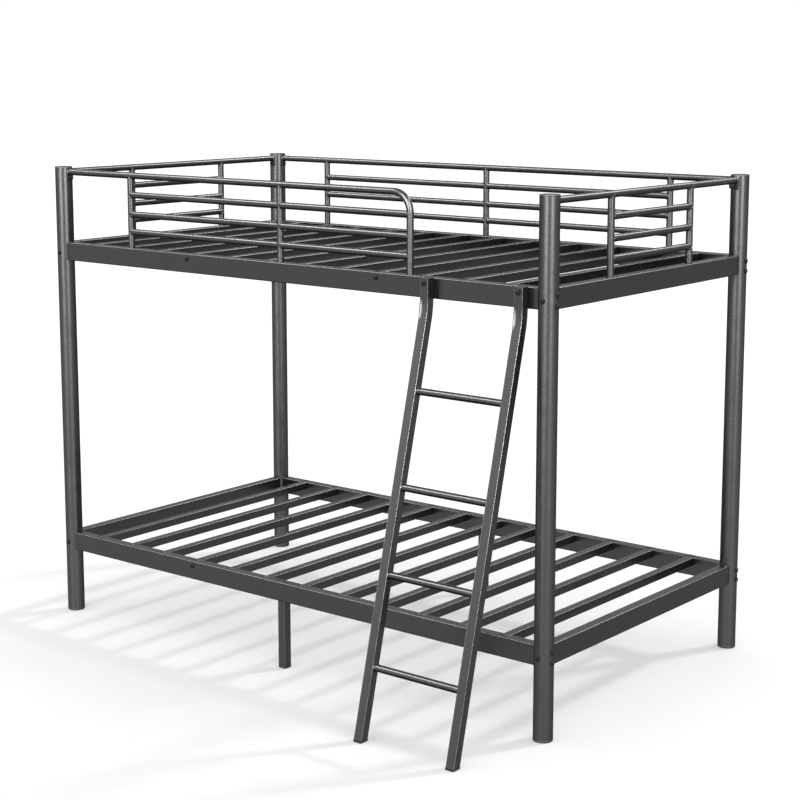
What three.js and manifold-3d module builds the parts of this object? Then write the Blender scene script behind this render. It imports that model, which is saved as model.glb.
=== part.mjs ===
// A steel bunk bed: two slatted decks on four round posts, a guard round the upper deck and a fixed ladder.
// Millimetres, +Z up. +X runs along the bed and -Y is the front, where the ladder stands.

import * as THREE from 'three';
import { mergeVertices } from 'three/addons/utils/BufferGeometryUtils.js';
import Module from 'manifold-3d';

const wasm = await Module();
wasm.setup();

// ---------------------------------------------------------------- driving dimensions

const INCH = 25.4;
const LENGTH = 75 * INCH;
const WIDTH = 41.3 * INCH;
const HEIGHT = 57 * INCH;

const GAP = 0.3; // left between pieces that touch
const OVERSHOOT = 5; // how far a cutting tool runs past what it cuts

const POST = { radius: 27, wall: 1.5, sides: 32 };
const TOP_CAP = { lip: 4, edge: 1.5, plug: 14 };
const FOOT_CAP = { lip: 8, edge: 3, plug: 14 };

const RAIL = { height: 57, thickness: 32, wall: 1.5, corner: 3 };
const LOWER_DECK = 263; // top of the lower rails and slats
const UPPER_DECK = 1209; // top of the upper rails and slats

const SLAT = { width: 26, height: 25, wall: 1.2, corner: 2, length: 992 };
const SLATS_PER_DECK = 12;
const SLAT_PITCH = 145;
const NOTCH = { sideGap: 1, endGap: 6 };

const ROD = { radius: 10, wall: 1.2, sides: 16 }; // the round tube of the guards and the rungs
const GUARD_TOP = 1430.5; // height of the top rod's axis
const GUARD_BARS = [1258, 1312, 1371.5];
const GUARD_PLATE = { thickness: 3, drop: 27 }; // the bolted end plate hangs this far below the axis
const GUARD_BEND = { radius: 55, steps: 8 };
const FRONT_UPRIGHTS = [-619, 0];
const FRONT_GUARD_END = 474;
const REAR_UPRIGHTS = [-690, 0, 690];
const END_UPRIGHTS = [-207.5, 207.5];

const SQUARE = { size: 27, wall: 1.5, corner: 2 }; // the square tube of the ladder and the centre legs
const SQUARE_CAP = { lip: 5, plug: 12 };

const LADDER = {
  centre: 707.5,
  spacing: 306,
  lean: THREE.MathUtils.degToRad(14),
  bendStart: 1160,
  bendRadius: 265,
  rungs: [193.5, 433, 660.5, 911.5],
};

// ---------------------------------------------------------------- places that follow from them

const POST_X = LENGTH / 2 - POST.radius;
const POST_Y = WIDTH / 2 - POST.radius;
const LADDER_Y = -(POST_Y + RAIL.thickness / 2 + GAP + SQUARE.size / 2);
const CORNERS = [
  { name: 'front_left', x: -POST_X, y: -POST_Y },
  { name: 'front_right', x: POST_X, y: -POST_Y },
  { name: 'rear_left', x: -POST_X, y: POST_Y },
  { name: 'rear_right', x: POST_X, y: POST_Y },
];
const DECKS = [
  { name: 'lower', top: LOWER_DECK },
  { name: 'upper', top: UPPER_DECK },
];
const slatPositions = Array.from(
  { length: SLATS_PER_DECK },
  (_, i) => (i - (SLATS_PER_DECK - 1) / 2) * SLAT_PITCH,
);

// ---------------------------------------------------------------- finishes

const FINISHES = {
  powderCoat: { color: 0x4b4b4d, roughness: 0.42, metalness: 0.35 },
  blackPlastic: { color: 0x1b1b1c, roughness: 0.55, metalness: 0 },
};

function part(name, geometry, finish) {
  const mesh = new THREE.Mesh(geometry, new THREE.MeshStandardMaterial(finish));
  mesh.name = name;
  return mesh;
}

// ---------------------------------------------------------------- solids and booleans

function solidOf(geometry) {
  const bare = geometry.clone();
  bare.deleteAttribute('normal');
  bare.deleteAttribute('uv');
  const merged = mergeVertices(bare, 1e-4);
  const mesh = new wasm.Mesh({
    numProp: 3,
    vertProperties: new Float32Array(merged.attributes.position.array),
    triVerts: new Uint32Array(merged.index.array),
  });
  return new wasm.Manifold(mesh);
}

function geometryOf(solid) {
  const mesh = solid.getMesh();
  const geometry = new THREE.BufferGeometry();
  geometry.setAttribute('position', new THREE.BufferAttribute(mesh.vertProperties, mesh.numProp));
  geometry.setIndex(new THREE.BufferAttribute(mesh.triVerts, 1));
  geometry.computeVertexNormals();
  return geometry;
}

const unite = (geometries) => geometries.map(solidOf).reduce((whole, piece) => whole.add(piece));

function without(body, tools) {
  const rest = tools.reduce((solid, tool) => solid.subtract(solidOf(tool)), solidOf(body));
  return geometryOf(rest);
}

function block([x0, x1], [y0, y1], [z0, z1]) {
  const box = new THREE.BoxGeometry(x1 - x0, y1 - y0, z1 - z0);
  return box.translate((x0 + x1) / 2, (y0 + y1) / 2, (z0 + z1) / 2);
}

function rodAlongX(x0, x1, z, radius) {
  const rod = new THREE.CylinderGeometry(radius, radius, x1 - x0, ROD.sides);
  return rod.rotateZ(-Math.PI / 2).translate((x0 + x1) / 2, 0, z);
}

function rodAlongZ(x, z0, z1, radius) {
  const rod = new THREE.CylinderGeometry(radius, radius, z1 - z0, ROD.sides);
  return rod.rotateX(Math.PI / 2).translate(x, 0, (z0 + z1) / 2);
}

// ---------------------------------------------------------------- tube sections

function roundedRectangle(width, height, corner, Outline = THREE.Shape) {
  const x = width / 2 - corner;
  const y = height / 2 - corner;
  const outline = new Outline();
  outline.absarc(x, y, corner, 0, Math.PI / 2);
  outline.absarc(-x, y, corner, Math.PI / 2, Math.PI);
  outline.absarc(-x, -y, corner, Math.PI, 1.5 * Math.PI);
  outline.absarc(x, -y, corner, 1.5 * Math.PI, 2 * Math.PI);
  return outline;
}

function rectangularTubeSection({ width, height, corner, wall }) {
  const section = roundedRectangle(width, height, corner);
  const bore = roundedRectangle(width - 2 * wall, height - 2 * wall, corner - wall, THREE.Path);
  section.holes.push(bore);
  return section;
}

// Extrudes a section drawn across (Y, Z) along X, centred on the origin.
function extrudeAlongX(section, length, curveSegments = 1) {
  const options = { depth: length, bevelEnabled: false, curveSegments };
  const geometry = new THREE.ExtrudeGeometry(section, options);
  geometry.translate(0, 0, -length / 2);
  const toX = new THREE.Matrix4().makeBasis(
    new THREE.Vector3(0, 1, 0),
    new THREE.Vector3(0, 0, 1),
    new THREE.Vector3(1, 0, 0),
  );
  return geometry.applyMatrix4(toX);
}

// ---------------------------------------------------------------- posts and their caps

function postGeometry() {
  const inner = POST.radius - POST.wall;
  const bottom = FOOT_CAP.lip + GAP;
  const top = HEIGHT - TOP_CAP.lip - GAP;
  const profile = [
    new THREE.Vector2(inner, bottom),
    new THREE.Vector2(POST.radius, bottom),
    new THREE.Vector2(POST.radius, top),
    new THREE.Vector2(inner, top),
    new THREE.Vector2(inner, bottom),
  ];
  return new THREE.LatheGeometry(profile, POST.sides).rotateX(Math.PI / 2);
}

// A push-in plug whose lip has its outer face at z = 0 and its plug pointing up.
function roundCapGeometry({ lip, edge, plug }) {
  const plugRadius = POST.radius - POST.wall - GAP;
  const flat = POST.radius - edge;
  const shoulder = flat + edge * Math.SQRT1_2;
  const profile = [
    new THREE.Vector2(0, 0),
    new THREE.Vector2(flat, 0),
    new THREE.Vector2(shoulder, edge * (1 - Math.SQRT1_2)),
    new THREE.Vector2(POST.radius, edge),
    new THREE.Vector2(POST.radius, lip),
    new THREE.Vector2(plugRadius, lip),
    new THREE.Vector2(plugRadius, lip + plug),
    new THREE.Vector2(0, lip + plug),
  ];
  return new THREE.LatheGeometry(profile, POST.sides).rotateX(Math.PI / 2);
}

function addPosts(bed) {
  for (const { name, x, y } of CORNERS) {
    const corner = new THREE.Group();
    corner.position.set(x, y, 0);
    const topCap = part(`top_cap_${name}`, roundCapGeometry(TOP_CAP), FINISHES.blackPlastic);
    topCap.rotation.x = Math.PI;
    topCap.position.z = HEIGHT;
    corner.add(part(`post_${name}`, postGeometry(), FINISHES.powderCoat));
    corner.add(part(`foot_cap_${name}`, roundCapGeometry(FOOT_CAP), FINISHES.blackPlastic));
    corner.add(topCap);
    bed.add(corner);
  }
}

// ---------------------------------------------------------------- rails

function postBores(distance) {
  const radius = POST.radius + GAP;
  const height = RAIL.height + 2 * OVERSHOOT;
  return [-distance, distance].map((x) => {
    const bore = new THREE.CylinderGeometry(radius, radius, height, POST.sides);
    return bore.rotateX(Math.PI / 2).translate(x, 0, 0);
  });
}

// The notches open towards +Y, the inside of the bed, and take the ends of the slats.
function slatNotches() {
  const halfWidth = SLAT.width / 2 + NOTCH.sideGap;
  const outerWall = SLAT.length / 2 + NOTCH.endGap - POST_Y;
  const top = RAIL.height / 2;
  return slatPositions.map((x) => block(
    [x - halfWidth, x + halfWidth],
    [-outerWall, RAIL.thickness / 2 + OVERSHOOT],
    [top - SLAT.height - GAP, top + OVERSHOOT],
  ));
}

function railGeometry(postDistance, notches) {
  const section = rectangularTubeSection({ ...RAIL, width: RAIL.thickness });
  const tube = extrudeAlongX(section, 2 * postDistance);
  return without(tube, [...postBores(postDistance), ...notches]);
}

function addRails(bed) {
  for (const deck of DECKS) {
    const rails = [
      { name: 'front', distance: POST_X, notches: slatNotches(), x: 0, y: -POST_Y, turn: 0 },
      { name: 'rear', distance: POST_X, notches: slatNotches(), x: 0, y: POST_Y, turn: Math.PI },
      { name: 'left', distance: POST_Y, notches: [], x: -POST_X, y: 0, turn: Math.PI / 2 },
      { name: 'right', distance: POST_Y, notches: [], x: POST_X, y: 0, turn: Math.PI / 2 },
    ];
    for (const { name, distance, notches, x, y, turn } of rails) {
      const rail = part(`rail_${deck.name}_${name}`, railGeometry(distance, notches), FINISHES.powderCoat);
      rail.position.set(x, y, deck.top - RAIL.height / 2);
      rail.rotation.z = turn;
      bed.add(rail);
    }
  }
}

// ---------------------------------------------------------------- slats

function addSlats(bed) {
  for (const deck of DECKS) {
    slatPositions.forEach((x, i) => {
      const number = String(i + 1).padStart(2, '0');
      const geometry = extrudeAlongX(rectangularTubeSection(SLAT), SLAT.length);
      const slat = part(`slat_${deck.name}_${number}`, geometry, FINISHES.powderCoat);
      slat.rotation.z = Math.PI / 2;
      slat.position.set(x, 0, deck.top - SLAT.height / 2);
      bed.add(slat);
    });
  }
}

// ---------------------------------------------------------------- guards

// A path through given points, with one extrusion step for each stretch between them.
class StationPath extends THREE.Curve {
  constructor(points) {
    super();
    this.points = points;
  }

  getPoint(t) {
    const last = this.points.length - 1;
    const from = Math.min(Math.floor(t * last), last - 1);
    return this.points[from].clone().lerp(this.points[from + 1], t * last - from);
  }

  getUtoTmapping(u) {
    return u;
  }
}

// The top rod of the front guard: along X, round a quarter bend and down to the rail.
function bentRod(left, right, foot, radius) {
  const bend = GUARD_BEND.radius;
  const quarter = Array.from({ length: GUARD_BEND.steps + 1 }, (_, i) => {
    const angle = (i / GUARD_BEND.steps) * (Math.PI / 2);
    const x = right - bend * (1 - Math.sin(angle));
    const z = GUARD_TOP - bend * (1 - Math.cos(angle));
    return new THREE.Vector3(x, 0, z);
  });
  const points = [new THREE.Vector3(left, 0, GUARD_TOP), ...quarter, new THREE.Vector3(right, 0, foot)];
  const section = new THREE.Shape().absarc(0, 0, radius, 0, 2 * Math.PI);
  return new THREE.ExtrudeGeometry(section, {
    extrudePath: new StationPath(points),
    steps: points.length - 1,
    curveSegments: ROD.sides / 2,
    bevelEnabled: false,
  });
}

// The tubes of one guard with the given radius: its outside, or the bores that make it hollow.
function guardTubes({ left, right, uprights, bentEnd }, radius, foot) {
  const ends = bentEnd === undefined ? uprights : [...uprights, bentEnd];
  const tubes = uprights.map((x) => rodAlongZ(x, foot, GUARD_TOP, radius));
  for (const z of GUARD_BARS) {
    tubes.push(rodAlongX(ends[0], ends.at(-1), z, radius));
  }
  if (bentEnd === undefined) {
    tubes.push(rodAlongX(left, right, GUARD_TOP, radius));
  } else {
    tubes.push(bentRod(left, bentEnd, foot, radius));
  }
  return tubes;
}

function endPlate(x0, x1) {
  return block([x0, x1], [-ROD.radius, ROD.radius], [GUARD_TOP - GUARD_PLATE.drop, GUARD_TOP + ROD.radius]);
}

function guardGeometry(postDistance, uprights, bentEnd) {
  const right = postDistance - POST.radius - GAP;
  const left = -right;
  const { thickness } = GUARD_PLATE;
  const plates = [endPlate(left, left + thickness)];
  if (bentEnd === undefined) {
    plates.push(endPlate(right - thickness, right));
  }
  const foot = UPPER_DECK + GAP;
  const outside = guardTubes({ left, right, uprights, bentEnd }, ROD.radius, foot);
  const bores = guardTubes(
    { left: left + thickness, right: right - thickness, uprights, bentEnd },
    ROD.radius - ROD.wall,
    foot - OVERSHOOT,
  );
  return geometryOf(unite([...outside, ...plates]).subtract(unite(bores)));
}

function addGuards(bed) {
  const frontGuard = guardGeometry(POST_X, FRONT_UPRIGHTS, FRONT_GUARD_END);
  const guards = [
    { name: 'front', geometry: frontGuard, x: 0, y: -POST_Y, turn: 0 },
    { name: 'rear', geometry: guardGeometry(POST_X, REAR_UPRIGHTS), x: 0, y: POST_Y, turn: 0 },
    { name: 'left', geometry: guardGeometry(POST_Y, END_UPRIGHTS), x: -POST_X, y: 0, turn: Math.PI / 2 },
    { name: 'right', geometry: guardGeometry(POST_Y, END_UPRIGHTS), x: POST_X, y: 0, turn: Math.PI / 2 },
  ];
  for (const { name, geometry, x, y, turn } of guards) {
    const guard = part(`guard_${name}`, geometry, FINISHES.powderCoat);
    guard.position.set(x, y, 0);
    guard.rotation.z = turn;
    bed.add(guard);
  }
}

// ---------------------------------------------------------------- ladder

// The stile's edge at a signed distance from its centre line, positive towards the bed: the arc's radius,
// the end of the arc and the place where the straight lower part crosses a height.
function stileEdge(offset) {
  const radius = LADDER.bendRadius + offset;
  const centreY = LADDER_Y - LADDER.bendRadius;
  const arcEnd = {
    y: centreY + radius * Math.cos(LADDER.lean),
    z: LADDER.bendStart - radius * Math.sin(LADDER.lean),
  };
  const yAt = (z) => arcEnd.y - (arcEnd.z - z) * Math.tan(LADDER.lean);
  return { radius, centreY, arcEnd, yAt };
}

// The side view of a stile in (Y, Z): upright against the rail, then leaning out to the floor.
function stileOutline(half, bottom, top) {
  const inner = stileEdge(half);
  const outer = stileEdge(-half);
  const outline = new THREE.Shape();
  outline.moveTo(LADDER_Y + half, top);
  outline.absarc(inner.centreY, LADDER.bendStart, inner.radius, 0, -LADDER.lean, true);
  outline.lineTo(inner.yAt(bottom), bottom);
  outline.lineTo(outer.yAt(bottom), bottom);
  outline.absarc(outer.centreY, LADDER.bendStart, outer.radius, -LADDER.lean, 0, false);
  outline.lineTo(LADDER_Y - half, top);
  return outline;
}

function stileGeometry() {
  const half = SQUARE.size / 2;
  const boreHalf = half - SQUARE.wall;
  const bottom = SQUARE_CAP.lip + GAP;
  const body = extrudeAlongX(stileOutline(half, bottom, UPPER_DECK), SQUARE.size, 3);
  const bore = extrudeAlongX(
    stileOutline(boreHalf, bottom - OVERSHOOT, UPPER_DECK + OVERSHOOT),
    2 * boreHalf,
    3,
  );
  return without(body, [bore]);
}

// The plastic shoe under a stile: a flat lip and a short plug that leans with the tube.
function stileFootGeometry() {
  const half = SQUARE.size / 2;
  const plugHalf = half - SQUARE.wall - GAP;
  const edges = [stileEdge(-half).yAt(0), stileEdge(half).yAt(0)];
  const lip = block([-half, half], edges, [0, SQUARE_CAP.lip]);
  const heights = [SQUARE_CAP.lip / 2, SQUARE_CAP.lip + SQUARE_CAP.plug];
  const [inner, outer] = [stileEdge(plugHalf), stileEdge(-plugHalf)];
  const plug = new THREE.Shape([
    ...heights.map((z) => new THREE.Vector2(inner.yAt(z), z)),
    ...heights.toReversed().map((z) => new THREE.Vector2(outer.yAt(z), z)),
  ]);
  return geometryOf(unite([lip, extrudeAlongX(plug, 2 * plugHalf)]));
}

function rungGeometry() {
  const section = new THREE.Shape().absarc(0, 0, ROD.radius, 0, 2 * Math.PI);
  section.holes.push(new THREE.Path().absarc(0, 0, ROD.radius - ROD.wall, 0, 2 * Math.PI));
  const length = LADDER.spacing - SQUARE.size - 2 * GAP;
  return extrudeAlongX(section, length, ROD.sides / 2);
}

function addLadder(bed) {
  const ladder = new THREE.Group();
  ladder.position.x = LADDER.centre;
  for (const [name, side] of [['left', -1], ['right', 1]]) {
    const stile = new THREE.Group();
    stile.position.x = (side * LADDER.spacing) / 2;
    stile.add(part(`ladder_stile_${name}`, stileGeometry(), FINISHES.powderCoat));
    stile.add(part(`ladder_foot_${name}`, stileFootGeometry(), FINISHES.blackPlastic));
    ladder.add(stile);
  }
  LADDER.rungs.forEach((z, i) => {
    const rung = part(`ladder_rung_${i + 1}`, rungGeometry(), FINISHES.powderCoat);
    rung.position.set(0, stileEdge(0).yAt(z), z);
    ladder.add(rung);
  });
  bed.add(ladder);
}

// ---------------------------------------------------------------- centre legs

function squareCapGeometry() {
  const half = SQUARE.size / 2;
  const plugHalf = half - SQUARE.wall - GAP;
  const lip = block([-half, half], [-half, half], [0, SQUARE_CAP.lip]);
  const plug = block([-plugHalf, plugHalf], [-plugHalf, plugHalf], [0, SQUARE_CAP.lip + SQUARE_CAP.plug]);
  return geometryOf(unite([lip, plug]));
}

function addCentreLegs(bed) {
  const bottom = SQUARE_CAP.lip + GAP;
  const top = LOWER_DECK - RAIL.height - GAP;
  for (const [name, y] of [['front', -POST_Y], ['rear', POST_Y]]) {
    const section = rectangularTubeSection({ ...SQUARE, width: SQUARE.size, height: SQUARE.size });
    const leg = part(`centre_leg_${name}`, extrudeAlongX(section, top - bottom), FINISHES.powderCoat);
    leg.rotation.y = -Math.PI / 2;
    leg.position.set(0, y, (bottom + top) / 2);
    const foot = part(`centre_leg_foot_${name}`, squareCapGeometry(), FINISHES.blackPlastic);
    foot.position.y = y;
    bed.add(leg, foot);
  }
}

// ---------------------------------------------------------------- assembly

const bed = new THREE.Group();
bed.name = 'bunk_bed';
addPosts(bed);
addRails(bed);
addSlats(bed);
addGuards(bed);
addLadder(bed);
addCentreLegs(bed);

// The ladder stands out in front, so the bed is moved back to centre the whole object on the origin.
const ladderFront = stileEdge(-SQUARE.size / 2).yAt(0);
bed.position.y = -(ladderFront + WIDTH / 2) / 2;

const whole = new THREE.Group();
whole.add(bed);

export default whole;
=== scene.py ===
"""A steel bunk bed with a ladder: every tube, cap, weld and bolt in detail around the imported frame.

Metres, +Z up. +X runs along the bed, and -Y is the front, where the ladder stands.
"""

import math

import bpy
from mathutils import Matrix, Vector


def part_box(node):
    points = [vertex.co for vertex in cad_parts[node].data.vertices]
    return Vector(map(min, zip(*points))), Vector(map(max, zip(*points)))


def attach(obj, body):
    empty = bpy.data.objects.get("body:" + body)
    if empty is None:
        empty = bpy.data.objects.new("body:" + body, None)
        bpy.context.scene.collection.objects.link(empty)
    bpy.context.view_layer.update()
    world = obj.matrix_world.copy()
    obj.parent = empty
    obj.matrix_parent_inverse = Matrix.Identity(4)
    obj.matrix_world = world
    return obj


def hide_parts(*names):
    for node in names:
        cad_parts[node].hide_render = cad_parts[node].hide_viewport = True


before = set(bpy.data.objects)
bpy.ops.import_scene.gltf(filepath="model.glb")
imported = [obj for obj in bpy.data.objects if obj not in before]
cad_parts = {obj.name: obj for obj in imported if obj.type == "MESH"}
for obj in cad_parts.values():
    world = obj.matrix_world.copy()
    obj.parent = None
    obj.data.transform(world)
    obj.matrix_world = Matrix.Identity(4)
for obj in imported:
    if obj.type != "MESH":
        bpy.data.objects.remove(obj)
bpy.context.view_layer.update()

MM = 0.001
X, Y, Z = Vector((1, 0, 0)), Vector((0, 1, 0)), Vector((0, 0, 1))

# ---------------------------------------------------------------- sizes that the CAD boxes don't give

# shares of edge wear: a rim, the surface next to it, a rim that is hardly touched, a face, none
WORN, RUBBED, TOUCHED, FACE, FRESH = 1.0, 0.5, 0.3, 0.2, 0.0

POST_WALL = 1.5 * MM
POST_SIDES = 64
FOOT_CAP = {"lip": 8 * MM, "edge": 3 * MM, "plug": 14 * MM, "dome": 0.0}
TOP_CAP = {"lip": 4 * MM, "edge": 1.5 * MM, "plug": 14 * MM, "dome": 0.5 * MM}
CAP_EDGE_ANGLES = (30, 60, 90)

RAIL_WALL = 1.5 * MM
RAIL_CORNER = 3 * MM
RAIL_HEIGHT = 57 * MM
RAIL_THICKNESS = 32 * MM
RAIL_DIVISION = 5 * MM  # its section has points at least this close, so that its ends follow the round posts
SLAT_WALL = 1.2 * MM
SLAT_CORNER = 2 * MM
SLAT_WIDTH = 26 * MM
SLAT_HEIGHT = 25 * MM
NOTCH_SIDE_GAP = 1 * MM
NOTCH_END_GAP = 6 * MM
FIT = 0.3 * MM  # between pieces that touch
OVERSHOOT = 5 * MM  # how far a cutting tool runs past what it cuts

ROD = 10 * MM  # radius of the guards' round tube and of the rungs
ROD_SIDES = 32
GUARD_BARS = [1258 * MM, 1312 * MM, 1371.5 * MM]
GUARD_TOP = 1430.5 * MM
GUARD_BEND = 55 * MM
GUARD_BEND_STEPS = 16
PLATE_THICKNESS = 3 * MM  # the end plates that are bolted to the posts
PLATE_DROP = 27 * MM
PLATE_CORNER = 4 * MM
PLATE_EDGE = 0.3 * MM
UPRIGHTS = {
    "front": [-619 * MM, 0],
    "rear": [-690 * MM, 0, 690 * MM],
    "left": [-207.5 * MM, 207.5 * MM],
    "right": [-207.5 * MM, 207.5 * MM],
}
FRONT_GUARD_END = 474 * MM

SQUARE = 27 * MM
SQUARE_WALL = 1.5 * MM
SQUARE_CORNER = 2 * MM
LEAN = math.radians(14)
STILE_BEND_START = 1160 * MM
STILE_BEND_RADIUS = 265 * MM
STILE_BEND_STEPS = 14
STILE_BEND_EASE = 6 * MM  # the straight stile beside its bend starts this far from it
BEND_ONSET = 0.35  # a low power lets the bend's shape set in fast
LID = (0.3 * MM, 2.5 * MM)  # top and underside of the plate that closes a stile, below its top
# where the stile is bent its front corners are drawn out by these widths, depths, flatnesses and swells
BEND_LEFT = (12.5 * MM, 2.0 * MM, 0.5, 3 * MM)
BEND_RIGHT = (1 * MM, 0.5 * MM, 0.0, 0.0)

CORNER_STEPS = 5
CORNER_SUPPORT = 0.5 * MM  # a line of points this far past a corner keeps the flat side's shading flat
SMALL_SUPPORT = 0.2 * MM  # the same for small sections
END_EASE = 0.4 * MM  # rounding of a cut tube end

SHOE_CORNER = 2 * MM
# (height, inset, wear) up the rounded lower edge and the side of a square shoe
SHOE_RINGS = [(0, 1.2 * MM, WORN), (0.4 * MM, 0.4 * MM, WORN), (1.2 * MM, 0, TOUCHED), (5 * MM, 0, FACE)]

BEAD = 1.8 * MM  # radius of a weld bead
BEAD_SIDES = 8
BEAD_STEPS = 40
BEAD_RIPPLES = 14
BEAD_RIPPLE_HEIGHT = 0.12  # share of the bead's radius
SADDLE_ROUNDING = 0.03  # rounds the saddle weld where it passes under the rod
SADDLE_TILT = 0.5

BOLT_SIDES = 36
SOCKET_APOTHEM = 2.5 * MM
SOCKET_DEPTH = 2.4 * MM
# (radius, height above the seat, wear) of a button head, from under its skirt to the rim of the socket
BOLT_HEAD = [
    (7.2 * MM, -1.0 * MM, FRESH),
    (7.6 * MM, 0.0, FACE),
    (7.6 * MM, 1.2 * MM, RUBBED),
    (7.3 * MM, 2.2 * MM, TOUCHED),
    (6.4 * MM, 3.2 * MM, FACE),
    (5.0 * MM, 3.9 * MM, FACE),
    (3.6 * MM, 4.2 * MM, RUBBED),
]
POST_BOLT_HEIGHTS = {"upper": 1177 * MM, "lower": 231.5 * MM}
POST_BOLT_PAIR = 14.7 * MM  # the two bolts of a pair stand this far above and below that height
RAIL_BOLT_HEIGHTS = {"upper": 1194 * MM, "lower": 247.5 * MM}
RAIL_BOLT_PLACES = {"left": -366 * MM, "right": 366 * MM}
LADDER_BOLT_HEIGHT = 1196 * MM
GUARD_BOLT_HEIGHT = GUARD_TOP - 18.5 * MM

# ---------------------------------------------------------------- meshes


class Skin:
    """Points, faces and edge wear for one mesh, which may hold several closed shells."""

    def __init__(self):
        self.points = []
        self.wear = []
        self.faces = []

    def loft(self, rings, closed=False):
        """Joins rings of (point, wear). A closed loft goes back to its first ring, others get flat ends."""
        base, count = len(self.points), len(rings[0])
        for ring in rings:
            self.points += [point for point, _ in ring]
            self.wear += [wear for _, wear in ring]
        spans = len(rings) if closed else len(rings) - 1
        for index in range(spans):
            here = base + index * count
            there = base + (index + 1) % len(rings) * count
            for i in range(count):
                j = (i + 1) % count
                self.faces.append((here + i, here + j, there + j, there + i))
        if not closed:
            last = base + (len(rings) - 1) * count
            self.faces.append(tuple(range(base + count - 1, base - 1, -1)))
            self.faces.append(tuple(range(last, last + count)))


def mesh_from(name, skin):
    mesh = bpy.data.meshes.new(name)
    mesh.from_pydata(skin.points, [], skin.faces)
    wear = mesh.attributes.new("wear", "FLOAT", "POINT")
    wear.data.foreach_set("value", skin.wear)
    mesh.validate()
    return mesh


def smooth_by_angle(mesh, limit=math.radians(38)):
    """Smooth shading, kept sharp along the edges where two faces meet at more than the limit."""
    mesh.shade_smooth()
    mesh.set_sharp_from_angle(angle=limit)


PIECES = []


def object_from(name, skin):
    made = bpy.data.objects.new(name, mesh_from(name, skin))
    bpy.context.scene.collection.objects.link(made)
    return made


def add_piece(name, skin, material, node=None):
    """A new piece that rides on the bed, with the given material. It may stand for a CAD node, which it
    hides.
    """
    finish_piece(object_from(name, skin), material, node)


def finish_piece(piece, material, node):
    PIECES.append(piece)
    smooth_by_angle(piece.data)
    piece.data.materials.clear()
    piece.data.materials.append(material)
    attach(piece, "root")
    if node:
        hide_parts(node)


def cut(piece, cutter_skin):
    """Takes the cutter's solids away from the piece's mesh."""
    cutter = object_from("cutter", cutter_skin)
    boolean = piece.modifiers.new("cut", "BOOLEAN")
    boolean.operation = "DIFFERENCE"
    boolean.solver = "EXACT"
    boolean.object = cutter
    bpy.context.view_layer.update()
    evaluated = piece.evaluated_get(bpy.context.evaluated_depsgraph_get())
    result = bpy.data.meshes.new_from_object(evaluated)
    piece.modifiers.clear()
    piece.data = result
    bpy.data.objects.remove(cutter)


# ---------------------------------------------------------------- outlines of (u, v, wear), anticlockwise


def circle(radius, sides):
    angles = [2 * math.pi * step / sides for step in range(sides)]
    return [(radius * math.cos(angle), radius * math.sin(angle), FRESH) for angle in angles]


def corner_arc(width, height, sides, first, shape):
    """One corner of a rectangle, on the given sides (+1 or -1) in u and v, and worn in its middle."""
    side_u, side_v = sides
    radius_u, radius_v, flatness, swell = shape
    centre_u = side_u * (width / 2 + swell - radius_u)
    centre_v = side_v * (height / 2 - radius_v)
    arc = []
    for step in range(CORNER_STEPS + 1):
        share = step / CORNER_STEPS
        angle = first + share * math.pi / 2
        u = centre_u + side_u * radius_u * abs(math.cos(angle)) ** flatness
        v = centre_v + side_v * radius_v * abs(math.sin(angle)) ** flatness
        arc.append((u, v, WORN * math.sin(math.pi * share)))
    return arc


def rounded_rectangle(width, height, radius, low_left=None, low_right=None, support=CORNER_SUPPORT):
    """Either corner at -v may have a shape of its own, (radius in u, radius in v, flatness, swell).

    A flatness of 1 is round and 2 is a straight chamfer. The swell moves the corner out along u.
    """
    even = (radius, radius, 1, 0)
    corners = [((1, 1), even), ((-1, 1), even), ((-1, -1), low_left or even), ((1, -1), low_right or even)]
    outline = []
    for quarter, (sides, shape) in enumerate(corners):
        first = quarter * math.pi / 2
        arc = corner_arc(width, height, sides, first, shape)
        (start_u, start_v, _), (end_u, end_v, _) = arc[0], arc[-1]
        outline.append((start_u + support * math.sin(first), start_v - support * math.cos(first), FRESH))
        outline += arc
        outline.append((end_u - support * math.cos(first), end_v - support * math.sin(first), FRESH))
    return outline


def divided(outline, longest):
    """The same outline with points added so that no side is longer than this."""
    result = []
    for (u0, v0, w0), (u1, v1, w1) in zip(outline, outline[1:] + outline[:1]):
        steps = max(1, math.ceil(math.hypot(u1 - u0, v1 - v0) / longest))
        for step in range(steps):
            share = step / steps
            result.append((u0 + share * (u1 - u0), v0 + share * (v1 - v0), w0 + share * (w1 - w0)))
    return result


def inset(outline, distance):
    """The outline moved towards its middle, for a rounded end."""
    return [(u - math.copysign(distance, u), v - math.copysign(distance, v), WORN) for u, v, _ in outline]


def worn(outline, wear):
    """The same outline with one wear all round."""
    return [(u, v, wear) for u, v, _ in outline]


def placed(outline, frame_at):
    return [(frame_at @ Vector((u, v, 0)), wear) for u, v, wear in outline]


def section_frame(origin, across, up):
    """The matrix that puts an outline's u along across and its v along up, at the origin."""
    forward = across.cross(up)
    return Matrix(((across.x, up.x, forward.x, origin.x),
                   (across.y, up.y, forward.y, origin.y),
                   (across.z, up.z, forward.z, origin.z),
                   (0, 0, 0, 1)))


# ---------------------------------------------------------------- tubes and turned shapes


def straight_tube(skin, outer, inner, start, end, across, up):
    """A hollow tube with eased ends. across x up points from start to end."""
    direction = (end - start).normalized()
    ease = direction * END_EASE
    stations = [(start, True), (start + ease, False), (end - ease, False), (end, True)]
    rings = [placed(inset(outer, END_EASE) if eased else outer, section_frame(point, across, up))
             for point, eased in stations]
    rings += [placed(inner, section_frame(point, across, up)) for point in (end, start)]
    skin.loft(rings, closed=True)


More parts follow.
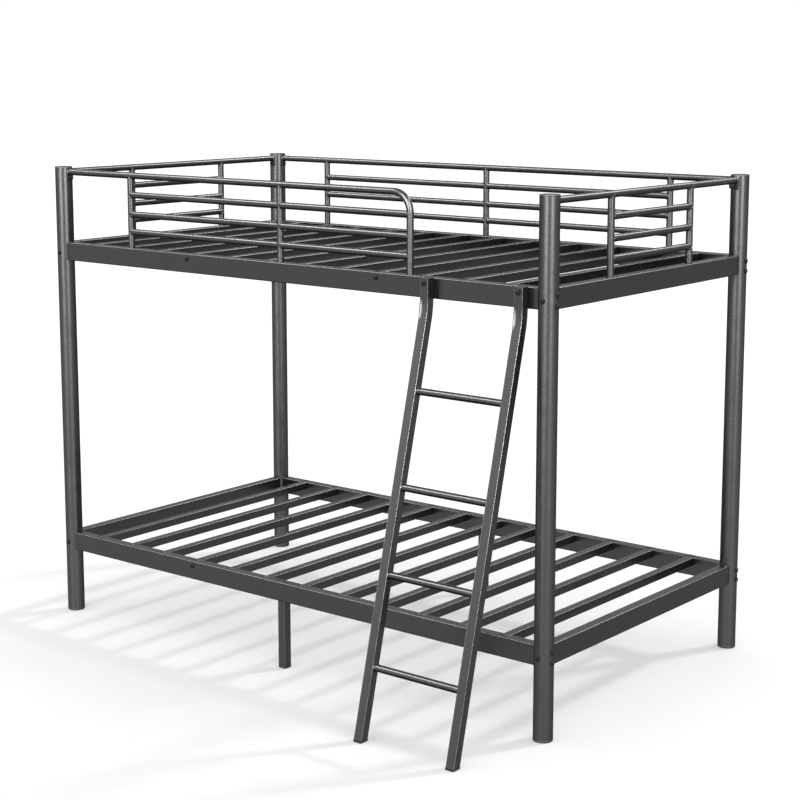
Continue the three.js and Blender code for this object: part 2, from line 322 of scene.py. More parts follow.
def turned(skin, profile, origin, axis, sides):
    """A solid turned about an axis from (radius, distance along the axis, wear) points, with flat ends."""
    across = axis.orthogonal().normalized()
    up = axis.cross(across)
    rings = []
    for radius, along, wear in profile:
        outline = worn(circle(radius, sides), wear)
        rings.append(placed(outline, section_frame(origin + axis * along, across, up)))
    skin.loft(rings)


def solid_box(skin, low, high):
    corners = [(low.x, low.y), (high.x, low.y), (high.x, high.y), (low.x, high.y)]
    skin.loft([[(Vector((x, y, z)), FRESH) for x, y in corners] for z in (low.z, high.z)])


# ---------------------------------------------------------------- places, from the boxes of the CAD nodes


def middle(node):
    low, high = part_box(node)
    return (low + high) / 2


CORNERS = ("front_left", "front_right", "rear_left", "rear_right")
POST_RADIUS = (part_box("post_front_left")[1].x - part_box("post_front_left")[0].x) / 2
POST_AXES = {corner: middle(f"post_{corner}") for corner in CORNERS}
BED_MIDDLE = (POST_AXES["front_left"] + POST_AXES["rear_right"]) / 2
POST_X = POST_AXES["rear_right"].x - BED_MIDDLE.x
POST_Y = POST_AXES["rear_right"].y - BED_MIDDLE.y
SLAT_COUNT = sum(1 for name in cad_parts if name.startswith("slat_lower_"))
RUNG_COUNT = sum(1 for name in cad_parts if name.startswith("ladder_rung_"))
SIDES = {
    "front": {"along": X, "inward": Y, "offset": POST_Y, "reach": POST_X},
    "rear": {"along": -X, "inward": -Y, "offset": POST_Y, "reach": POST_X},
    "left": {"along": -Y, "inward": X, "offset": POST_X, "reach": POST_Y},
    "right": {"along": Y, "inward": -X, "offset": POST_X, "reach": POST_Y},
}


def side_middle(side):
    """The point at floor height on the line between the two posts of a side."""
    place = SIDES[side]
    centre = BED_MIDDLE - place["inward"] * place["offset"]
    return Vector((centre.x, centre.y, 0))


def guard_direction(side):
    """The direction in which the places along a guard are counted."""
    return X if side in ("front", "rear") else Y


# ---------------------------------------------------------------- materials

CENTRE_OF_NOISE = (0.3, 0.7)  # most of a noise lies between these
COOL = 1.01  # tints for grey()
COOLER = 1.02
RUBBED_GREY = 0.05  # of the metal and plastic where an edge is rubbed bare


class Nodes:
    """Adds nodes to one node tree. A value is a number, a colour or the output of another node."""

    def __init__(self, tree):
        self.tree = tree

    def add(self, kind, **settings):
        node = self.tree.nodes.new(kind)
        for name, setting in settings.items():
            setattr(node, name, setting)
        return node

    def put(self, value, socket):
        if isinstance(value, bpy.types.NodeSocket):
            self.tree.links.new(value, socket)
        else:
            socket.default_value = value

    def combine(self, node, *values):
        """Gives the node's first free inputs these values, and returns its output."""
        sockets = [socket for socket in node.inputs if socket.enabled]
        for socket, value in zip(sockets, values):
            self.put(value, socket)
        return next(socket for socket in node.outputs if socket.enabled)

    def math(self, operation, first, second):
        return self.combine(self.add("ShaderNodeMath", operation=operation), first, second)

    def span(self, value, between, low, high, curve="LINEAR"):
        """Maps a value that lies between two numbers to the range from low to high."""
        node = self.add("ShaderNodeMapRange", interpolation_type=curve)
        return self.combine(node, value, *between, low, high)

    def mix(self, share, first, second, kind="RGBA"):
        return self.combine(self.add("ShaderNodeMix", data_type=kind), share, first, second)


class Material(Nodes):
    """The nodes of one new material, placed over the object."""

    def __init__(self, name):
        self.material = bpy.data.materials.new(name)
        self.material.use_nodes = True
        super().__init__(self.material.node_tree)
        self.shader = self.tree.nodes["Principled BSDF"]
        self.coordinates = self.add("ShaderNodeTexCoord").outputs["Object"]

    def finish(self, **values):
        """Sets inputs of the shader, named with _ for a space, and returns the material."""
        for name, value in values.items():
            self.put(value, self.shader.inputs[name.replace("_", " ")])
        return self.material

    def noise(self, scale, detail=2, roughness=0.5):
        """Noise with this many features to the metre."""
        node = self.add("ShaderNodeTexNoise")
        self.put(self.coordinates, node.inputs["Vector"])
        self.put(scale, node.inputs["Scale"])
        self.put(detail, node.inputs["Detail"])
        self.put(roughness, node.inputs["Roughness"])
        return node.outputs["Fac"]

    def spread(self, noise, low, high):
        """Maps the centre of a noise to the range from low to high."""
        return self.span(noise, CENTRE_OF_NOISE, low, high)

    def shades(self, noise, dark, light, between=CENTRE_OF_NOISE):
        """Maps a noise to the colours from dark to light."""
        node = self.add("ShaderNodeValToRGB")
        for element, position, colour in zip(node.color_ramp.elements, between, (dark, light)):
            element.position = position
            element.color = colour
        self.put(noise, node.inputs["Fac"])
        return node.outputs["Color"]

    def rubbed(self, patches, low, high):
        """How far each point is rubbed: along the edges, in patches."""
        wear = self.add("ShaderNodeAttribute", attribute_name="wear").outputs["Fac"]
        return self.math("MULTIPLY", wear, self.spread(patches, low, high))

    def bump(self, height, distance, strength, below=None):
        node = self.add("ShaderNodeBump")
        self.put(height, node.inputs["Height"])
        self.put(distance, node.inputs["Distance"])
        self.put(strength, node.inputs["Strength"])
        if below:
            self.put(below, node.inputs["Normal"])
        return node.outputs["Normal"]


def grey(value, tint=1.0):
    """A linear grey, slightly warm below a tint of 1 and slightly cool above it."""
    return (value / tint, value, value * tint, 1.0)


def powder_coat():
    """Satin black powder coat: a fine orange peel, faint clouds in colour and gloss, rubbed edges."""
    coat = Material("powder_coat")
    clouds = coat.shades(coat.noise(scale=7, detail=3), grey(0.006, COOL), grey(0.010, COOL))
    speckles = coat.noise(scale=900, detail=1)
    speckles = coat.shades(speckles, grey(0.004, COOL), grey(0.016, COOL), between=(0.35, 0.75))
    colour = coat.mix(coat.spread(coat.noise(scale=90), low=0.25, high=0.5), clouds, speckles)
    rubbed = coat.rubbed(coat.noise(scale=14, detail=3), low=0.1, high=0.5)
    roughness = coat.spread(coat.noise(scale=26, detail=4, roughness=0.6), low=0.25, high=0.31)
    polish = coat.math("MULTIPLY", rubbed, 0.06)
    peel = coat.bump(coat.noise(scale=420, detail=2), distance=0.05 * MM, strength=0.06)
    grain = coat.bump(coat.noise(scale=1800, detail=1), distance=0.01 * MM, strength=0.15, below=peel)
    return coat.finish(
        Base_Color=coat.mix(rubbed, colour, grey(RUBBED_GREY)),
        Roughness=coat.math("SUBTRACT", roughness, polish),
        Normal=grain,
    )


def black_plastic():
    """Moulded polyethylene: nearly black, matt, with a spark-eroded grain and scuffed rims."""
    plastic = Material("black_plastic")
    colour = plastic.shades(plastic.noise(scale=60, detail=3), grey(0.009), grey(0.016))
    scuffed = plastic.rubbed(plastic.noise(scale=160, detail=4), low=0.0, high=0.5)
    return plastic.finish(
        Base_Color=plastic.mix(scuffed, colour, grey(RUBBED_GREY)),
        Roughness=plastic.spread(plastic.noise(scale=300, detail=3), low=0.46, high=0.6),
        Normal=plastic.bump(plastic.noise(scale=1800, detail=2), distance=0.06 * MM, strength=0.4),
    )


def black_oxide():
    """Black-oxide bolts: a dull, oily black with a mottled sheen and slightly rubbed socket edges."""
    oxide = Material("black_oxide")
    colour = oxide.shades(oxide.noise(scale=400, detail=3), grey(0.008, COOLER), grey(0.016, COOLER))
    rubbed = oxide.rubbed(oxide.noise(scale=700, detail=3), low=0.0, high=0.4)
    return oxide.finish(
        Base_Color=oxide.mix(rubbed, colour, grey(RUBBED_GREY)),
        Roughness=oxide.spread(oxide.noise(scale=600, detail=3), low=0.55, high=0.68),
        Normal=oxide.bump(oxide.noise(scale=3000, detail=2), distance=0.02 * MM, strength=0.3),
        Specular_IOR_Level=0.3,
    )


COAT = powder_coat()
PLASTIC = black_plastic()
OXIDE = black_oxide()

# ---------------------------------------------------------------- posts and their caps


def add_post(name):
    low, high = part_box(f"post_{name}")
    axis = POST_AXES[name]
    skin = Skin()
    start, end = Vector((axis.x, axis.y, low.z)), Vector((axis.x, axis.y, high.z))
    outer, inner = circle(POST_RADIUS, POST_SIDES), circle(POST_RADIUS - POST_WALL, POST_SIDES)
    straight_tube(skin, outer, inner, start, end, X, Y)
    add_piece(f"post_{name}_tube", skin, COAT, f"post_{name}")


def cap_profile(lip, edge, plug, dome):
    """(radius, height, wear) from the outer face, which may be domed, to the end of the plug."""
    flat = POST_RADIUS - edge
    profile = [(0.4 * flat, 0.0, FRESH), (0.8 * flat, 0.5 * dome, FRESH), (flat, dome, FACE)]
    for degrees in CAP_EDGE_ANGLES:
        angle = math.radians(degrees)
        rise = dome + (edge - dome) * (1 - math.cos(angle))
        wear = WORN if degrees < 90 else TOUCHED
        profile.append((flat + edge * math.sin(angle), rise, wear))
    plug_radius = POST_RADIUS - POST_WALL - FIT
    profile += [(POST_RADIUS, lip, TOUCHED), (plug_radius, lip, FRESH), (plug_radius, lip + plug, FRESH)]
    return profile


def add_round_cap(node, profile, outer_face, inward):
    skin = Skin()
    turned(skin, profile, outer_face, inward, POST_SIDES)
    add_piece(f"{node}_plug", skin, PLASTIC, node)


def add_round_caps(name):
    axis = POST_AXES[name]
    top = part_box(f"top_cap_{name}")[1].z
    add_round_cap(f"foot_cap_{name}", cap_profile(**FOOT_CAP), Vector((axis.x, axis.y, 0)), Z)
    add_round_cap(f"top_cap_{name}", cap_profile(**TOP_CAP), Vector((axis.x, axis.y, top)), -Z)


# ---------------------------------------------------------------- rails


def coped_ring(outline, side, height, end):
    """The outline of a rail where it meets the round post at one end of its side, following the post."""
    place = SIDES[side]
    centre = side_middle(side) + Z * height
    radius = POST_RADIUS + FIT
    ring = []
    for u, v, wear in outline:
        along = end * (place["reach"] - math.sqrt(radius**2 - u**2))
        ring.append((centre + place["inward"] * u + Z * v + place["along"] * along, wear))
    return ring


def rail_skin(side, top):
    outer = rounded_rectangle(RAIL_THICKNESS, RAIL_HEIGHT, RAIL_CORNER)
    inner_thickness, inner_height = RAIL_THICKNESS - 2 * RAIL_WALL, RAIL_HEIGHT - 2 * RAIL_WALL
    inner = rounded_rectangle(inner_thickness, inner_height, RAIL_CORNER - RAIL_WALL)
    outer, inner = divided(outer, RAIL_DIVISION), divided(inner, RAIL_DIVISION)
    height = top - RAIL_HEIGHT / 2
    skin = Skin()
    rings = [coped_ring(outer, side, height, end) for end in (1, -1)]
    rings += [coped_ring(inner, side, height, end) for end in (-1, 1)]
    skin.loft(rings, closed=True)
    return skin


def notch_cutters(side, deck, top):
    """Solids for the notches that take the slat ends of one long rail."""
    outward = -SIDES[side]["inward"].y
    slat_end = abs(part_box(f"slat_{deck}_01")[1].y - BED_MIDDLE.y)
    far = BED_MIDDLE.y + outward * (slat_end + NOTCH_END_GAP)
    near = BED_MIDDLE.y + outward * (SIDES[side]["offset"] - RAIL_THICKNESS / 2 - OVERSHOOT)
    half = SLAT_WIDTH / 2 + NOTCH_SIDE_GAP
    skin = Skin()
    for number in range(1, SLAT_COUNT + 1):
        x = middle(f"slat_{deck}_{number:02d}").x
        low = Vector((x - half, min(far, near), top - SLAT_HEIGHT - FIT))
        high = Vector((x + half, max(far, near), top + OVERSHOOT))
        solid_box(skin, low, high)
    return skin


def add_rail(deck, side):
    node = f"rail_{deck}_{side}"
    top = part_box(node)[1].z
    piece = object_from(f"{node}_tube", rail_skin(side, top))
    if side in ("front", "rear"):
        cut(piece, notch_cutters(side, deck, top))
    finish_piece(piece, COAT, node)


# ---------------------------------------------------------------- slats


def add_slat(node):
    low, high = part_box(node)
    centre = (low + high) / 2
    outer = rounded_rectangle(SLAT_WIDTH, SLAT_HEIGHT, SLAT_CORNER)
    inner_width, inner_height = SLAT_WIDTH - 2 * SLAT_WALL, SLAT_HEIGHT - 2 * SLAT_WALL
    inner = rounded_rectangle(inner_width, inner_height, SLAT_CORNER - SLAT_WALL)
    skin = Skin()
    start, end = Vector((centre.x, high.y, centre.z)), Vector((centre.x, low.y, centre.z))
    straight_tube(skin, outer, inner, start, end, X, Z)
    add_piece(f"{node}_tube", skin, COAT, node)


# ---------------------------------------------------------------- welds

BEAD_ANGLES = [2 * math.pi * step / BEAD_STEPS for step in range(BEAD_STEPS)]


def bead(skin, points, outward):
    """A rippled weld bead along a closed line of points. Each point has a direction away from the joint."""
    rings = []
    for i, angle in enumerate(BEAD_ANGLES):
        tangent = (points[(i + 1) % BEAD_STEPS] - points[i - 1]).normalized()
        across = (outward[i] - tangent * outward[i].dot(tangent)).normalized()
        up = tangent.cross(across)
        radius = BEAD * (1 + BEAD_RIPPLE_HEIGHT * math.sin(BEAD_RIPPLES * angle))
        rings.append([(points[i] + across * u + up * v, TOUCHED) for u, v, _ in circle(radius, BEAD_SIDES)])
    skin.loft(rings, closed=True)


def saddle_weld(skin, joint, bar, upright):
    """The bead where a rod running along bar meets the side of an equal rod along upright."""
    side = bar.cross(upright)
    points, outward = [], []
    for angle in BEAD_ANGLES:
        radial = side * math.cos(angle) + upright * math.sin(angle)
        reach = math.sqrt(math.sin(angle) ** 2 + SADDLE_ROUNDING)
        points.append(joint + ROD * (radial + bar * reach))
        outward.append(radial + bar * SADDLE_TILT)
    bead(skin, points, outward)


def ring_weld(skin, centre, axis):
    """The bead round a rod that stands on a flat face. The axis points away from the face."""
    side = axis.orthogonal().normalized()
    up = axis.cross(side)
    radials = [side * math.cos(angle) + up * math.sin(angle) for angle in BEAD_ANGLES]
    bead(skin, [centre + ROD * radial for radial in radials], [radial + axis for radial in radials])


# ---------------------------------------------------------------- guards


def rod_between(skin, start, end, cope_start=None, cope_end=None):
    """A round rod. A coped end is cut to the side of an equal rod whose axis has the given direction."""
    axis = (end - start).normalized()
    across = axis.orthogonal().normalized()
    up = axis.cross(across)
    rings = []
    for point, cope, sign in ((start, cope_start, 1), (end, cope_end, -1)):
        ring = []
        for u, v, _ in circle(ROD, ROD_SIDES):
            offset = across * u + up * v
            reach = 0.0
            if cope is not None:
                sideways = offset.dot(axis.cross(cope))
                reach = math.sqrt(max(0.0, ROD**2 - sideways**2)) - FIT
            ring.append((point + offset + axis * (sign * reach), FRESH))
        rings.append(ring)
    skin.loft(rings)


def bent_rod(skin, left, corner, foot):
    """The front guard's top rod: along the rail, round a bend and down to the rail at the corner."""
    along = (corner - left).normalized()
    pivot = corner - along * GUARD_BEND - Z * GUARD_BEND
    stations = [(left, along)]
    for step in range(GUARD_BEND_STEPS + 1):
        angle = math.pi / 2 * step / GUARD_BEND_STEPS
        outward = along * math.sin(angle) + Z * math.cos(angle)
        direction = along * math.cos(angle) - Z * math.sin(angle)
        stations.append((pivot + GUARD_BEND * outward, direction))
    stations.append((foot, -Z))
    side = Z.cross(along)
    rings = []
    for point, direction in stations:
        up = direction.cross(side)
        rings.append(placed(circle(ROD, ROD_SIDES), section_frame(point, side, up)))
    skin.loft(rings)


def end_plate(skin, post_face, away, side):
    """The flat plate welded to the end of the top rod and bolted to the post. away points from the post."""
    outline = rounded_rectangle(2 * ROD, PLATE_DROP + ROD, PLATE_CORNER, support=SMALL_SUPPORT)
    eased = inset(outline, PLATE_EDGE)
    sections = [(0, eased), (PLATE_EDGE, outline)]
    sections += [(PLATE_THICKNESS - PLATE_EDGE, outline), (PLATE_THICKNESS, eased)]
    centre = post_face + Z * (ROD - PLATE_DROP) / 2
    across = side if side.cross(Z).dot(away) > 0 else -side
    skin.loft([placed(shape, section_frame(centre + away * along, across, Z)) for along, shape in sections])


def guard_ends(side):
    """(distance along the guard, direction away from the post) where a guard's top rod meets a post."""
    reach = SIDES[side]["reach"] - POST_RADIUS - FIT - PLATE_THICKNESS
    start, end = (-reach, guard_direction(side)), (reach, -guard_direction(side))
    return [start] if side == "front" else [start, end]


def add_guard(side):
    node = f"guard_{side}"
    along = guard_direction(side)
    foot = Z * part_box(node)[0].z
    base = side_middle(side)
    ends = guard_ends(side)
    stops = list(UPRIGHTS[side])
    skin = Skin()
    top_rod = [base + along * distance + Z * GUARD_TOP for distance, _ in ends]
    if side == "front":
        corner = base + along * FRONT_GUARD_END
        stops.append(FRONT_GUARD_END)
        bent_rod(skin, top_rod[0], corner + Z * GUARD_TOP, corner + foot)
    else:
        rod_between(skin, *top_rod)
    for end, (_, away) in zip(top_rod, ends):
        end_plate(skin, end - away * PLATE_THICKNESS, away, SIDES[side]["inward"])
        ring_weld(skin, end, away)
    for distance in UPRIGHTS[side]:
        upright = base + along * distance
        rod_between(skin, upright + foot, upright + Z * GUARD_TOP, cope_end=along)
        saddle_weld(skin, upright + Z * GUARD_TOP, -Z, along)
    for first, last in zip(stops, stops[1:]):
        for height in GUARD_BARS:
            start = base + along * first + Z * height
            end = base + along * last + Z * height
            rod_between(skin, start, end, cope_start=Z, cope_end=Z)
            saddle_weld(skin, start, along, Z)
            saddle_weld(skin, end, -along, Z)
    add_piece(f"{node}_welded", skin, COAT, node)


# ---------------------------------------------------------------- ladder


def stile_stations(top, bottom):
    """(offset from the upright part, direction downwards, share of bend) down the centre line of a stile."""
    stations = [(Z * top, -Z, 0.0), (Z * (STILE_BEND_START + STILE_BEND_EASE), -Z, 0.0)]
    pivot = Vector((0, -STILE_BEND_RADIUS, STILE_BEND_START))
    for step in range(STILE_BEND_STEPS + 1):
        share = step / STILE_BEND_STEPS
        angle = LEAN * share
        point = pivot + STILE_BEND_RADIUS * Vector((0, math.cos(angle), -math.sin(angle)))
        direction = Vector((0, -math.sin(angle), -math.cos(angle)))
        stations.append((point, direction, math.sin(math.pi * share) ** BEND_ONSET))
    last, leaning, _ = stations[-1]
    stations.append((last + leaning * STILE_BEND_EASE, leaning, 0.0))
    stations.append((last + leaning * ((last.z - bottom) / math.cos(LEAN)), leaning, 0.0))
    return stations


def stile_ring(outline, origin, point, direction, level=None):
    """The outline across the stile, or where it crosses a level, such as the cut at its foot."""
    inward = X.cross(direction)
    ring = []
    for u, v, wear in outline:
        corner = origin + point + X * u + inward * v
        if level is not None:
            corner += direction * ((level - corner.z) / direction.z)
        ring.append((corner, wear))
    return ring


def stile_section(size, corner, bend):
    """A square tube's outline whose front corners are drawn out by a share of the bend's own shape."""
    shapes = []
    for wider, deeper, flatter, swell in (BEND_LEFT, BEND_RIGHT):
        shapes.append((corner + bend * wider, corner + bend * deeper, 1 + bend * flatter, bend**2 * swell))
    return rounded_rectangle(size, size, corner, *shapes, support=SMALL_SUPPORT)


def add_stile(name):
    node = f"ladder_stile_{name}"
    low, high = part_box(node)
    origin = Vector(((low.x + high.x) / 2, high.y - SQUARE / 2, 0))
    bore, bore_corner = SQUARE - 2 * SQUARE_WALL, SQUARE_CORNER - SQUARE_WALL
    stations = stile_stations(high.z, low.z)
    outer_rings, inner_rings = [], []
    for index, (point, direction, bend) in enumerate(stations):
        level = low.z if index == len(stations) - 1 else None
        outer = stile_section(SQUARE, SQUARE_CORNER, bend)
        inner = stile_section(bore, bore_corner, bend)
        outer_rings.append(stile_ring(outer, origin, point, direction, level))
        inner_rings.append(stile_ring(inner, origin, point, direction, level))
    skin = Skin()
    skin.loft(outer_rings + inner_rings[::-1], closed=True)
    lid = stile_section(bore, bore_corner, bend=0.0)
    skin.loft([stile_ring(lid, origin, Z * (high.z - depth), -Z) for depth in LID])
    add_piece(f"{node}_tube", skin, COAT, node)


def add_shoe(node):
    """The flat plastic shoe under a square tube, with a rounded lower edge."""
    low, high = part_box(node)
    centre = (low + high) / 2
    depth = high.y - low.y
    skin = Skin()
    rings = []
    for height, shrink, wear in SHOE_RINGS:
        outline = rounded_rectangle(SQUARE - 2 * shrink, depth - 2 * shrink, SHOE_CORNER)
        rings.append(placed(worn(outline, wear), section_frame(Vector((centre.x, centre.y, height)), X, Y)))
    skin.loft(rings)
    add_piece(f"{node}_shoe", skin, PLASTIC, node)


def add_rung(number):
    node = f"ladder_rung_{number}"
    low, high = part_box(node)
    centre = (low + high) / 2
    start, end = Vector((low.x - FIT, centre.y, centre.z)), Vector((high.x + FIT, centre.y, centre.z))
    skin = Skin()
    rod_between(skin, start, end)
    ring_weld(skin, start, X)
    ring_weld(skin, end, -X)
    add_piece(f"{node}_welded", skin, COAT, node)


# ---------------------------------------------------------------- centre legs


def add_centre_leg(side):
    node = f"centre_leg_{side}"
    low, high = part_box(node)
    centre = (low + high) / 2
    skin = Skin()
    outer = rounded_rectangle(SQUARE, SQUARE, SQUARE_CORNER)
    bore = SQUARE - 2 * SQUARE_WALL
    inner = rounded_rectangle(bore, bore, SQUARE_CORNER - SQUARE_WALL, support=SMALL_SUPPORT)
    start, end = Vector((centre.x, centre.y, low.z)), Vector((centre.x, centre.y, high.z))
    straight_tube(skin, outer, inner, start, end, X, Y)
    add_piece(f"{node}_tube", skin, COAT, node)
    add_shoe(f"centre_leg_foot_{side}")


# ---------------------------------------------------------------- bolts


def hexagon(apothem):
    """A hexagon with as many points as the bolt's round rings, so that they join."""
    outline = []
    for step in range(BOLT_SIDES):
        angle = 2 * math.pi * step / BOLT_SIDES
        from_flat = (angle + math.pi / 6) % (math.pi / 3) - math.pi / 6
        radius = apothem / math.cos(from_flat)
        outline.append((radius * math.cos(angle), radius * math.sin(angle), WORN))
    return outline


def add_bolt(name, seat, direction):
    """A button-head bolt with a hexagon socket, seated at a point and facing the given direction."""
    across = direction.orthogonal().normalized()
    up = direction.cross(across)
    rings = []
    for radius, height, wear in BOLT_HEAD:
        outline = worn(circle(radius, BOLT_SIDES), wear)
        rings.append(placed(outline, section_frame(seat + direction * height, across, up)))
    rim = BOLT_HEAD[-1][1]
    for height in (rim, rim - SOCKET_DEPTH):
        rings.append(placed(hexagon(SOCKET_APOTHEM), section_frame(seat + direction * height, across, up)))
    skin = Skin()
    skin.loft(rings)
    add_piece(name, skin, OXIDE)


def add_post_bolts(corner):
    """On each deck a pair of bolts for the end rail and one bolt for the long rail."""
    axis = POST_AXES[corner]
    outward_x = X if axis.x > BED_MIDDLE.x else -X
    outward_y = Y if axis.y > BED_MIDDLE.y else -Y
    foot = Vector((axis.x, axis.y, 0))
    for deck, height in POST_BOLT_HEIGHTS.items():
        for label, shift in (("top", POST_BOLT_PAIR), ("bottom", -POST_BOLT_PAIR)):
            seat = foot + outward_x * POST_RADIUS + Z * (height + shift)
            add_bolt(f"bolt_{deck}_{corner}_{label}", seat, outward_x)
        add_bolt(f"bolt_{deck}_{corner}_cross", foot + outward_y * POST_RADIUS + Z * height, outward_y)


def add_rail_bolts(side):
    outward = -SIDES[side]["inward"]
    face = side_middle(side) + outward * (RAIL_THICKNESS / 2)
    for deck, height in RAIL_BOLT_HEIGHTS.items():
        for label, x in RAIL_BOLT_PLACES.items():
            add_bolt(f"bolt_{deck}_{side}_{label}", face + X * x + Z * height, outward)


def add_ladder_bolt(name):
    low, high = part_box(f"ladder_stile_{name}")
    seat = Vector(((low.x + high.x) / 2, high.y - SQUARE, LADDER_BOLT_HEIGHT))
    add_bolt(f"bolt_ladder_{name}", seat, -Y)


def add_guard_bolts(side):
    base = side_middle(side) + Z * GUARD_BOLT_HEIGHT
    for label, (distance, away) in zip(("start", "end"), guard_ends(side)):
        add_bolt(f"bolt_guard_{side}_{label}", base + guard_direction(side) * distance, away)


# ---------------------------------------------------------------- the bed


def add_bed():
    for corner in CORNERS:
        add_post(corner)
        add_round_caps(corner)
    for deck in ("lower", "upper"):
        for side in SIDES:
            add_rail(deck, side)
        for number in range(1, SLAT_COUNT + 1):
            add_slat(f"slat_{deck}_{number:02d}")
    for side in SIDES:
        add_guard(side)
    for name in ("left", "right"):
        add_stile(name)
        add_shoe(f"ladder_foot_{name}")
    for number in range(1, RUNG_COUNT + 1):
        add_rung(number)
    for side in ("front", "rear"):
        add_centre_leg(side)


def add_all_bolts():
    for corner in CORNERS:
        add_post_bolts(corner)
    for side in ("front", "rear"):
        add_rail_bolts(side)
    for name in ("left", "right"):
        add_ladder_bolt(name)
    for side in SIDES:
        add_guard_bolts(side)


# ---------------------------------------------------------------- floor and room

FLOOR_SIZE = 120.0
FLOOR_GLOW = 0.12  # keeps the shadows pale

# How bright the room is in the bed's reflections. Heights are sines of the elevation.
ROOM_FRONT_AZIMUTH = -55
ROOM_FRONT_RADIANCE = 1.97
ROOM_BACK_RADIANCE = (0.1, 0.62)  # at the horizon and higher up
ROOM_BACK_HEIGHTS = (-0.02, 0.36)
ROOM_FLOOR_SHARE = 0.04  # what is left of the room's light straight down
ROOM_FLOOR_HEIGHTS = (-0.7, -0.25)
# how bright it is as a fill light, from below and from above
FILL_RADIANCE = (0.15, 1.0)
FILL_HEIGHTS = (-0.5, 0.3)


def add_floor():
    mesh = bpy.data.meshes.new("floor")
    half = FLOOR_SIZE / 2
    corners = [(-half, -half, 0), (half, -half, 0), (half, half, 0), (-half, half, 0)]
    mesh.from_pydata(corners, [], [(0, 1, 2, 3)])
    pale = Material("pale_floor")
    mesh.materials.append(pale.finish(
        Base_Color=pale.shades(pale.noise(scale=1.5), grey(0.86), grey(0.88)),
        Roughness=1.0,
        Specular_IOR_Level=0.0,
        Emission_Color=grey(1.0),
        Emission_Strength=FLOOR_GLOW,
    ))
    floor = bpy.data.objects.new("floor", mesh)
    bpy.context.scene.collection.objects.link(floor)
    # the floor takes light and shadow but doesn't shine back on the bed, as a shadow catcher does
    floor.visible_diffuse = False
    floor.visible_glossy = False
    floor.visible_shadow = False


def direction_to(azimuth, elevation):
    """The direction at an azimuth from +X towards +Y and an elevation, in degrees."""
    a, e = math.radians(azimuth), math.radians(elevation)
    return Vector((math.cos(a) * math.cos(e), math.sin(a) * math.cos(e), math.sin(e)))


def add_world():
    """White behind the bed, a soft sky as its fill light, and a room with a dark floor to reflect."""
    world = bpy.data.worlds.new("studio")
    bpy.context.scene.world = world
    world.use_nodes = True
    world.cycles.sampling_method = "NONE"
    room = Nodes(world.node_tree)
    direction = room.add("ShaderNodeTexCoord").outputs["Generated"]
    axes = room.add("ShaderNodeSeparateXYZ")
    room.put(direction, axes.inputs["Vector"])
    height = axes.outputs["Z"]
    facing = room.add("ShaderNodeVectorMath", operation="DOT_PRODUCT")
    room.put(direction, facing.inputs[0])
    room.put(direction_to(ROOM_FRONT_AZIMUTH, 0), facing.inputs[1])
    front_share = room.span(facing.outputs["Value"], (-1.0, 1.0), 0.0, 1.0, "SMOOTHSTEP")
    back = room.span(height, ROOM_BACK_HEIGHTS, *ROOM_BACK_RADIANCE, "SMOOTHSTEP")
    sides = room.mix(front_share, back, ROOM_FRONT_RADIANCE, "FLOAT")
    above_floor = room.span(height, ROOM_FLOOR_HEIGHTS, ROOM_FLOOR_SHARE, 1.0, "SMOOTHSTEP")
    reflected = room.math("MULTIPLY", sides, above_floor)
    fill = room.span(height, FILL_HEIGHTS, *FILL_RADIANCE, "SMOOTHSTEP")
    path = room.add("ShaderNodeLightPath")
    strength = room.mix(path.outputs["Is Glossy Ray"], fill, reflected, "FLOAT")
    strength = room.mix(path.outputs["Is Camera Ray"], strength, 1.0, "FLOAT")
    background = room.tree.nodes["Background"]
    room.put(strength, background.inputs["Strength"])
    room.put(grey(1.0), background.inputs["Color"])


# ---------------------------------------------------------------- lights

LIGHT_AIM = Vector((0, 0, 0.7))
SUN_DISTANCE = 10.0
SOFTBOX_DISTANCE = 30.0
# the round tubes, and the square centre legs under the bed
ROUND_PIECES = ("post_", "guard_", "ladder_rung_", "centre_leg_", "top_cap_", "foot_cap_")
FLAT_PIECES = ("rail_", "slat_")
STILES = ("ladder_stile_",)
EVERY_PIECE = ("",)


def receivers(name, prefixes):
    """A collection of the pieces whose names start so, for a light that only reaches them."""
    group = bpy.data.collections.new(name)
    for piece in PIECES:
        if piece.name.startswith(prefixes):
            group.objects.link(piece)
    return group


def add_lamp(name, kind, direction, distance, energy, **settings):
    """A lamp that the camera doesn't see. It stands in a direction from the bed's middle, facing it."""
    data = bpy.data.lights.new(name, kind)
    data.energy = energy
    for setting, value in settings.items():
        setattr(data, setting, value)
    lamp = bpy.data.objects.new(name, data)
    lamp.location = LIGHT_AIM + direction * distance
    lamp.rotation_euler = direction.to_track_quat("Z", "Y").to_euler()
    lamp.visible_camera = False
    bpy.context.scene.collection.objects.link(lamp)
    return lamp


def add_sun(name, azimuth, elevation, strength, width):
    direction = direction_to(azimuth, elevation)
    return add_lamp(name, "SUN", direction, SUN_DISTANCE, strength, angle=math.radians(width))


def add_softbox(name, azimuth, width, lowest, highest, radiance, lit=None):
    """A distant panel that only shows in reflections, on the lit pieces or on all.

    Its size is given in degrees of azimuth and elevation.
    """
    direction = direction_to(azimuth, (lowest + highest) / 2)
    size_x = 2 * SOFTBOX_DISTANCE * math.tan(math.radians(width / 2))
    size_y = 2 * SOFTBOX_DISTANCE * math.tan(math.radians((highest - lowest) / 2))
    power = radiance * math.pi * size_x * size_y
    size = {"shape": "RECTANGLE", "size": size_x, "size_y": size_y}
    lamp = add_lamp(name, "AREA", direction, SOFTBOX_DISTANCE, power, **size)
    lamp.visible_diffuse = False
    lamp.light_linking.receiver_collection = lit


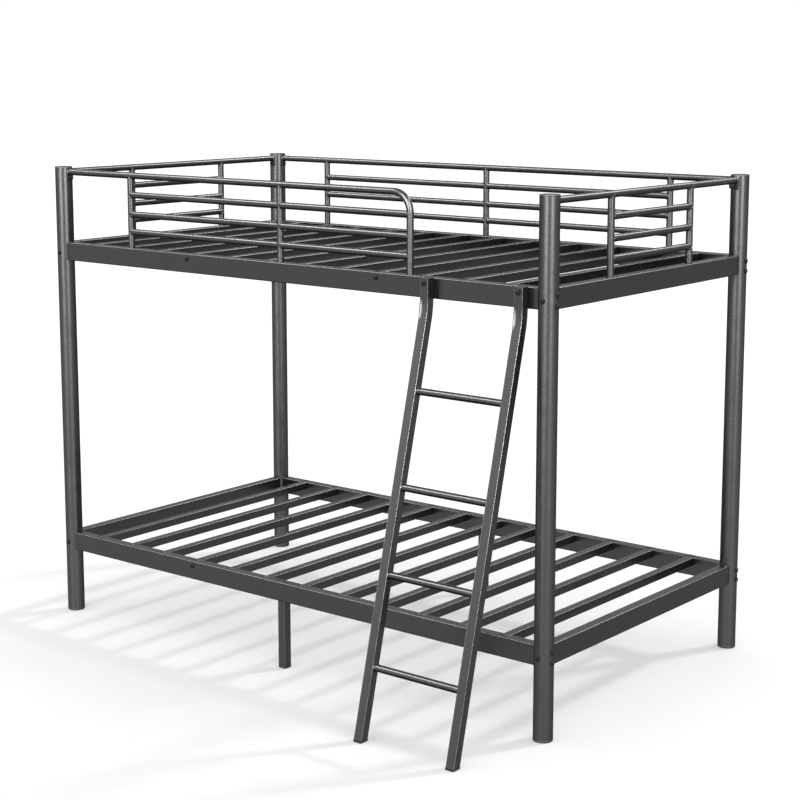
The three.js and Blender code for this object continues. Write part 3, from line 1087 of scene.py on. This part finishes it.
def add_lights():
    round_pieces = receivers("round_pieces", ROUND_PIECES)
    flat_pieces = receivers("flat_pieces", FLAT_PIECES)
    stiles = receivers("stiles", STILES)
    add_sun("sun", azimuth=64, elevation=39, strength=0.85, width=6)
    # two streaks down each post, kept off the flat tops, which would burn out in views from behind
    add_softbox("softbox_front", azimuth=-88, width=32, lowest=0, highest=45, radiance=29, lit=round_pieces)
    add_softbox("softbox_right", azimuth=-24, width=28, lowest=0, highest=45, radiance=29, lit=round_pieces)
    # the top line of the long rods and the rungs, and of the end guards' rods
    add_softbox("softbox_left", azimuth=-147, width=24, lowest=35.5, highest=50, radiance=24)
    add_softbox("softbox_back", azimuth=74, width=16, lowest=29, highest=43, radiance=12)
    # the upper edges of the rails and slats
    add_softbox("softbox_edges", azimuth=85, width=40, lowest=40, highest=47, radiance=9, lit=flat_pieces)
    # the stiles: the glint in their bends, their front faces and their right edges
    add_softbox("softbox_glint", azimuth=-156, width=16, lowest=-4, highest=18, radiance=20, lit=stiles)
    add_softbox("softbox_stile_faces", azimuth=-128, width=44, lowest=5, highest=28, radiance=1.1, lit=stiles)
    add_softbox("softbox_stile_edges", azimuth=-14, width=22, lowest=0, highest=30, radiance=95, lit=stiles)
    # a level light on the coat's own colour, which the camera's side of the bed doesn't face
    rear_fill = add_sun("rear_fill", azimuth=135, elevation=0, strength=13, width=60)
    rear_fill.visible_glossy = False
    rear_fill.light_linking.receiver_collection = receivers("bed", EVERY_PIECE)


# ---------------------------------------------------------------- camera

SENSOR_WIDTH = 36  # millimetres, as the lens is
LENS = 81.495
LENS_SHIFT = -0.0625
CAMERA_FROM_BED = Vector((3.502, -4.299, 1.793))  # from the floor under the middle of the bed
CAMERA_YAW = math.radians(-38.86)
CAMERA_PITCH = math.radians(9.24)
FARTHEST_SEEN = 200.0


def add_camera():
    data = bpy.data.cameras.new("camera")
    data.sensor_width = SENSOR_WIDTH
    data.lens = LENS
    data.shift_y = LENS_SHIFT
    data.clip_end = FARTHEST_SEEN
    camera = bpy.data.objects.new("camera", data)
    camera.location = CAMERA_FROM_BED + Vector((BED_MIDDLE.x, BED_MIDDLE.y, 0))
    level = Vector((math.sin(CAMERA_YAW), math.cos(CAMERA_YAW), 0))
    look = level * math.cos(CAMERA_PITCH) - Z * math.sin(CAMERA_PITCH)
    camera.rotation_euler = look.to_track_quat("-Z", "Y").to_euler()
    bpy.context.scene.collection.objects.link(camera)
    bpy.context.scene.camera = camera


# ---------------------------------------------------------------- the scene

add_bed()
add_all_bolts()
add_floor()
add_world()
add_camera()
add_lights()
bpy.context.scene.view_settings.view_transform = "Standard"
